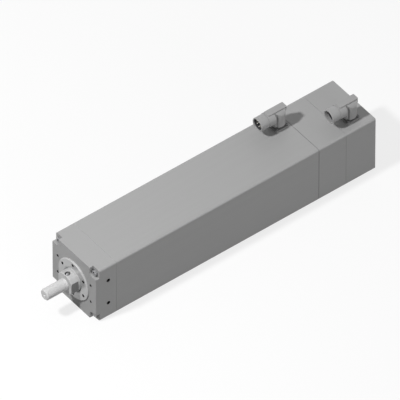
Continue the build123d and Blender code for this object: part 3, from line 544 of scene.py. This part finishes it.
def turned(stations, steps):
    """Grid of a body turned about +Z: each station is a height and a radius, which may depend on the turn.

    The point of a station at turn t is (radius cos t, radius sin t, height).
    """
    turn = np.arange(steps) * 2 * np.pi / steps
    radii = np.array([reach(turn) if callable(reach) else np.full(steps, reach) for _, reach in stations])
    heights = np.array([height for height, _ in stations], float)
    return np.stack(
        [radii * np.cos(turn), radii * np.sin(turn), np.broadcast_to(heights[:, None], radii.shape)], axis=-1
    )


def facing(grid, direction):
    """The grid with its +Z turned to another axis by swapping axes."""
    x, y, z = grid[..., 0], grid[..., 1], grid[..., 2]
    turns = {"+X": (z, x, y), "-X": (-z, y, x), "+Y": (y, z, x), "-Y": (x, -z, y), "+Z": (x, y, z)}
    return np.stack(turns[direction], axis=-1)


def new_piece(name, grid, places, body, slot, stands_for=None, finish_name=None):
    """Copies of one grid in one mesh: quads round the grid, and a flat face at its first and last row.

    A piece that stands for no CAD node is a sleeve: quads join its last row to its first instead.
    """
    rows, steps = grid.shape[:2]
    corner = np.arange(rows * steps).reshape(rows, steps)
    if stands_for is None:
        corner = np.concatenate([corner, corner[:1]])
    after = np.roll(corner, -1, axis=1)
    quads = np.stack([corner[:-1], after[:-1], after[1:], corner[1:]], axis=-1).reshape(-1)
    ends = [] if stands_for is None else [corner[0, ::-1], corner[-1]]
    one = np.concatenate([quads, *ends])
    one_sizes = np.concatenate([np.full(quads.size // 4, 4), [steps] * len(ends)]).astype(int)
    sizes = np.tile(one_sizes, len(places))
    loops = (one[None, :] + rows * steps * np.arange(len(places))[:, None]).reshape(-1)
    points = (grid.reshape(1, -1, 3) + np.array(places, float)[:, None, :]).reshape(-1, 3) * MM
    mesh = bpy.data.meshes.new(name)
    mesh.vertices.add(len(points))
    mesh.vertices.foreach_set("co", points.astype(np.float32).reshape(-1))
    mesh.loops.add(len(loops))
    mesh.loops.foreach_set("vertex_index", loops.astype(np.int32))
    mesh.polygons.add(len(sizes))
    mesh.polygons.foreach_set("loop_start", (np.cumsum(sizes) - sizes).astype(np.int32))
    mesh.update(calc_edges=True)
    mesh.shade_smooth()
    mesh.set_sharp_from_angle(angle=SHARP_ANGLE)
    mesh.materials.append(FINISHES[finish_name or slot])
    piece = bpy.data.objects.new(name, mesh)
    bpy.context.scene.collection.objects.link(piece)
    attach(piece, body)
    if stands_for is not None:
        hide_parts(stands_for)


def node_box(node):
    """Lowest and highest corner of a CAD node in millimetres."""
    low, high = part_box(node)
    return np.array(low) / MM, np.array(high) / MM


def socket_screw(length, *, radius, head_radius, head_height, key_width, key_depth, knurl_depth, knurl_count):
    """Profile of a socket head screw from the tip of its shank up and round the head into the hexagon socket.

    The head's edge is 9 hundredths of its radius; the knurl lies between a plain edge below and above.
    """
    rim = knurl(head_radius, knurl_depth, knurl_count)
    edge = 0.09 * head_radius
    key = hexagon(key_width / 2)
    return [
        (-length, 0.8 * radius),
        (-length + 0.2 * radius, radius),
        (0.0, radius),
        (0.0, head_radius - edge),
        (edge, head_radius),
        (2 * edge, rim),
        (head_height - 2.2 * edge, rim),
        (head_height - 1.6 * edge, head_radius),
        (head_height - edge, head_radius),
        (head_height - 0.3 * edge, head_radius - 0.3 * edge),
        (head_height, head_radius - edge),
        (head_height, 0.6 * key_width + 0.1 * edge),
        (head_height - 0.05 * key_width, key),
        (head_height - key_depth, key),
        (head_height - key_depth - 0.15 * key_width, 0.05 * key_width),
    ]


def add_screw_group(name, node, screw, axis, spots, steps, finish_name=None):
    """Socket head screws in the place of one node's plain screws, at spots across the axis they face."""
    low, high = node_box(node)
    along = "XYZ".index(axis[1])
    if axis[0] == "+":
        seat = high[along] - screw["head_height"]
        length = seat - low[along]
    else:
        seat = low[along] + screw["head_height"]
        length = high[along] - seat
    grid = facing(turned(socket_screw(length, **screw), steps), axis)
    places = [np.insert(spot, along, seat) for spot in spots]
    new_piece(name, grid, places, "housing", "bolt_steel", node, finish_name)


def add_screws():
    """The corner screws of the head and the cap, the cover screws and the flange screws."""
    low, high = node_box("head_bolts")
    corner = (high[1] - low[1]) / 2 - CORNER_SCREW["head_radius"]
    corners = [(side, level) for side in (-corner, corner) for level in (-corner, corner)]
    add_screw_group("head_socket_bolts", "head_bolts", CORNER_SCREW, "+X", corners, KNURLED_STEPS)
    add_screw_group("rear_socket_bolts", "rear_bolts", CORNER_SCREW, "-X", corners, KNURLED_STEPS)
    node = "front_cover_screws"
    circle = node_box(node)[1][2] - COVER_SCREW["head_radius"]
    angles = COVER_SCREW_START + COVER_SCREW_PITCH * np.arange(COVER_SCREW_COUNT)
    ring = [(circle * math.cos(angle), circle * math.sin(angle)) for angle in angles]
    add_screw_group("cover_socket_screws", node, COVER_SCREW, "+X", ring, PLAIN_STEPS, "black_screw_painted_shade")
    reach = FLANGE_SCREW["head_radius"]
    for title in ("power", "signal"):
        node = f"{title}_connector_screws"
        low, high = node_box(node)
        rows, lines = (low[0] + reach, high[0] - reach), (low[1] + reach, high[1] - reach)
        spots = [(x, y) for x in rows for y in lines]
        add_screw_group(
            f"{title}_flange_screws", node, FLANGE_SCREW, "+Z", spots, PLAIN_STEPS, "painted_shade_flange_screw"
        )


def thread_valley(along, turn, pitch):
    """0 on the crests and 1 in the valleys of a thread.

    The wave is a trapezoid over distance / pitch - turn / full turn: crests take an eighth of the
    pitch, and valleys a quarter.
    """
    wave = np.abs(2 * ((along / pitch - turn / (2 * np.pi)) % 1.0) - 1)
    return 1 - np.clip((wave - 0.25) / 0.625, 0.0, 1.0)


def thread_sleeve(radius, depth, pitch):
    """Inside thread of a hole: on the way down the radius steps in by a third of the pitch at each crest.

    Each turn is four stations, given as shares of the pitch and radii.
    """
    root, back = radius - SLEEVE_CLEARANCE, radius + SLEEVE_WALL
    crest = root - pitch / 3
    tops = np.arange(MOUTH_DEPTH, depth - pitch, pitch)
    shape = ((0.0, root), (0.35, crest), (0.5, crest), (0.85, root))
    threads = [(-(top + share * pitch), reach) for top in tops for share, reach in shape]
    return turned([(-MOUTH_DEPTH, back), *threads, (threads[-1][0], back)], PLAIN_STEPS)


def add_hole_threads():
    """Threads in the tapped holes of the front head, in its face and in both its sides, nearly black as
    painted shade in the holes.
    """
    low, high = node_box("front_head")
    threads = (("face", FACE_THREAD, "+X"), ("right", SIDE_THREAD, "-Y"), ("left", SIDE_THREAD, "+Y"))
    spots = {
        "face": [(high[0], y, z) for y, z in FACE_HOLES],
        "right": [(x, low[1], z) for x, z in SIDE_HOLES],
        "left": [(x, high[1], z) for x, z in SIDE_HOLES],
    }
    for title, thread, axis in threads:
        sleeve = facing(thread_sleeve(**thread), axis)
        name = f"{title}_hole_threads"
        new_piece(name, sleeve, spots[title], "housing", "anodised_grey", None, "thread_painted_shade")


def add_stub():
    """Stub with its fine thread.

    Along the stub the radius is the outer radius less the thread depth times the thread's valley
    wave, faded out near the shoulder and cut to the end chamfer.
    """
    low, high = node_box("rod_stub")
    radius, end = (high[1] - low[1]) / 2, high[0]
    turn = np.arange(STUB_STEPS) * 2 * np.pi / STUB_STEPS
    row_count = int((end - STUB_SHOULDER) / STUB_THREAD_PITCH * STUB_ROWS_PER_TURN) + 1
    along = np.linspace(STUB_SHOULDER, end, row_count)
    valley = thread_valley(along[:, None], turn, STUB_THREAD_PITCH)
    fade = np.clip((along - STUB_SHOULDER - STUB_PLAIN_LENGTH) / STUB_FADE_LENGTH, 0.0, 1.0)[:, None]
    limit = (radius - STUB_CHAMFER + end - along)[:, None]
    thread = np.minimum(radius - STUB_THREAD_DEPTH * valley * fade, limit)
    plain = lambda *radii: np.repeat(np.array(radii)[:, None], STUB_STEPS, axis=1)
    shank = plain(STUB_SHANK_RADIUS, STUB_SHANK_RADIUS)
    centre_hole = plain(CENTRE_HOLE_RADIUS, CENTRE_HOLE_TIP)
    radii = np.concatenate([shank, thread, centre_hole])
    places = np.concatenate([[low[0], STUB_SHOULDER], along, [end, end - CENTRE_HOLE_DEPTH]])
    grid = np.stack(
        [np.broadcast_to(places[:, None], radii.shape), radii * np.cos(turn), radii * np.sin(turn)], axis=-1
    )
    new_piece("threaded_stub", grid, [(0.0, 0.0, 0.0)], "rod", "rod_chrome", "rod_stub")


def add_nipple():
    """Grease nipple: threaded foot, hexagon, neck and a round head with a ball valve in its top.

    The head is an ellipse: its height is 3.75 + 1.35 sin a and its radius 1.5 + 0.95 cos a.
    """
    low, high = node_box("grease_nipple")
    seat = high[2] - NIPPLE_HEIGHT
    foot = low[2] - seat
    key = hexagon(NIPPLE_HEX / 2)
    bulge = np.radians(np.arange(-40, 50, 10))
    head = [(3.75 + 1.35 * math.sin(angle), 1.5 + 0.95 * math.cos(angle)) for angle in bulge]
    stations = [
        (foot, 2.4), (foot + 0.6, 3.0), (0.0, 3.0), (0.0, 3.3), (0.25, key), (2.1, key),
        (2.4, 3.2), (2.4, 2.3), *head, (5.1, 1.2), (NIPPLE_HEIGHT, 1.05), (NIPPLE_HEIGHT, 0.7), (4.9, 0.6),
        (5.05, 0.35), (5.1, 0.05),
    ]
    middle = (low + high) / 2
    spots = [(middle[0], middle[1], seat)]
    new_piece("nipple", turned(stations, NIPPLE_STEPS), spots, "rod", "bolt_steel", "grease_nipple")


def add_contacts():
    """Round contacts with domed tips: the tip's radius is the shank's times the cosine of the rise angle."""
    rise = np.radians(np.arange(0, 90, 15))
    for title, contact in CONTACTS.items():
        node = f"{title}_connector_pins"
        low, high = node_box(node)
        length, radius, circle = high[0] - low[0], contact["radius"], contact["circle"]
        dome = [(length - radius + radius * math.sin(angle), radius * math.cos(angle)) for angle in rise]
        stations = [(0.0, radius), *dome, (length, CONTACT_TIP_RADIUS)]
        angles = np.radians(90.0 + 360.0 / contact["count"] * np.arange(contact["count"]))
        middle = (low + high) / 2
        spots = [
            (low[0], middle[1] + circle * math.cos(angle), middle[2] + circle * math.sin(angle))
            for angle in angles
        ]
        grid = facing(turned(stations, CONTACT_STEPS), "+X")
        new_piece(f"{title}_contacts", grid, spots, f"{title}_connector", "contact_gold", node)


def seen_directly(nodes):
    """1 for rays that come from the camera or a reflection or glass, 0 for light that falls on things."""
    path = nodes.add("ShaderNodeLightPath").outputs
    mirrored = nodes.math("MAXIMUM", path["Is Glossy Ray"], path["Is Transmission Ray"])
    return nodes.math("MAXIMUM", path["Is Camera Ray"], mirrored)


def new_floor():
    """Pale floor under the body: it looks white and keeps the object's shadow."""
    low = cad_box[0].z - FLOOR_GAP
    half = FLOOR_SIZE / 2
    mesh = bpy.data.meshes.new("floor")
    corners = [(-half, -half, low), (half, -half, low), (half, half, low), (-half, half, low)]
    mesh.from_pydata(corners, [], [(0, 1, 2, 3)])
    floor = bpy.data.objects.new("floor", mesh)
    bpy.context.scene.collection.objects.link(floor)
    material = bpy.data.materials.new("floor")
    material.use_nodes = True
    nodes = Nodes(material.node_tree)
    seen = seen_directly(nodes)
    white = mix_colours(nodes, seen, FLOOR_SHADE, WHITE)
    ground = nodes.add("ShaderNodeBsdfDiffuse", {"Color": white}).outputs[0]
    glow = nodes.add("ShaderNodeEmission", {"Color": WHITE, "Strength": FLOOR_GLOW}).outputs[0]
    share = nodes.math("MULTIPLY", seen, FLOOR_GLOW_SHARE)
    shader = nodes.add("ShaderNodeMixShader", {0: share, 1: ground, 2: glow}).outputs[0]
    nodes.add("ShaderNodeOutputMaterial", {"Surface": shader})
    mesh.materials.append(material)


def new_sky():
    """Sky that looks white, but lights things less, and least from the front."""
    world = bpy.data.worlds.new("sky")
    world.use_nodes = True
    nodes = Nodes(world.node_tree)
    toward = nodes.add("ShaderNodeTexCoord").outputs["Generated"]
    forward = nodes.add("ShaderNodeSeparateXYZ", {0: toward}).outputs["X"]
    dimmed = nodes.math("MULTIPLY_ADD", forward, -SKY_SLOPE * SKY_LEVEL, SKY_LEVEL)
    level = nodes.ramp(seen_directly(nodes), 0.0, 1.0, dimmed, SEEN_SKY_LEVEL)
    sky = nodes.add("ShaderNodeBackground", {"Color": WHITE, "Strength": level}).outputs[0]
    nodes.add("ShaderNodeOutputWorld", {"Surface": sky})
    bpy.context.scene.world = world


new_camera()
new_lamp("key_lamp", "AREA", KEY_DIRECTION, shape="DISK", size=KEY_SIZE, energy=KEY_POWER)
for direction, strength in FILLS:
    new_lamp("fill_lamp", "SUN", direction, angle=FILL_SPREAD, energy=strength)
new_floor()
new_sky()
dress_nodes()
add_screws()
add_hole_threads()
add_stub()
add_nipple()
add_contacts()

bpy.context.scene.view_settings.view_transform = "Standard"
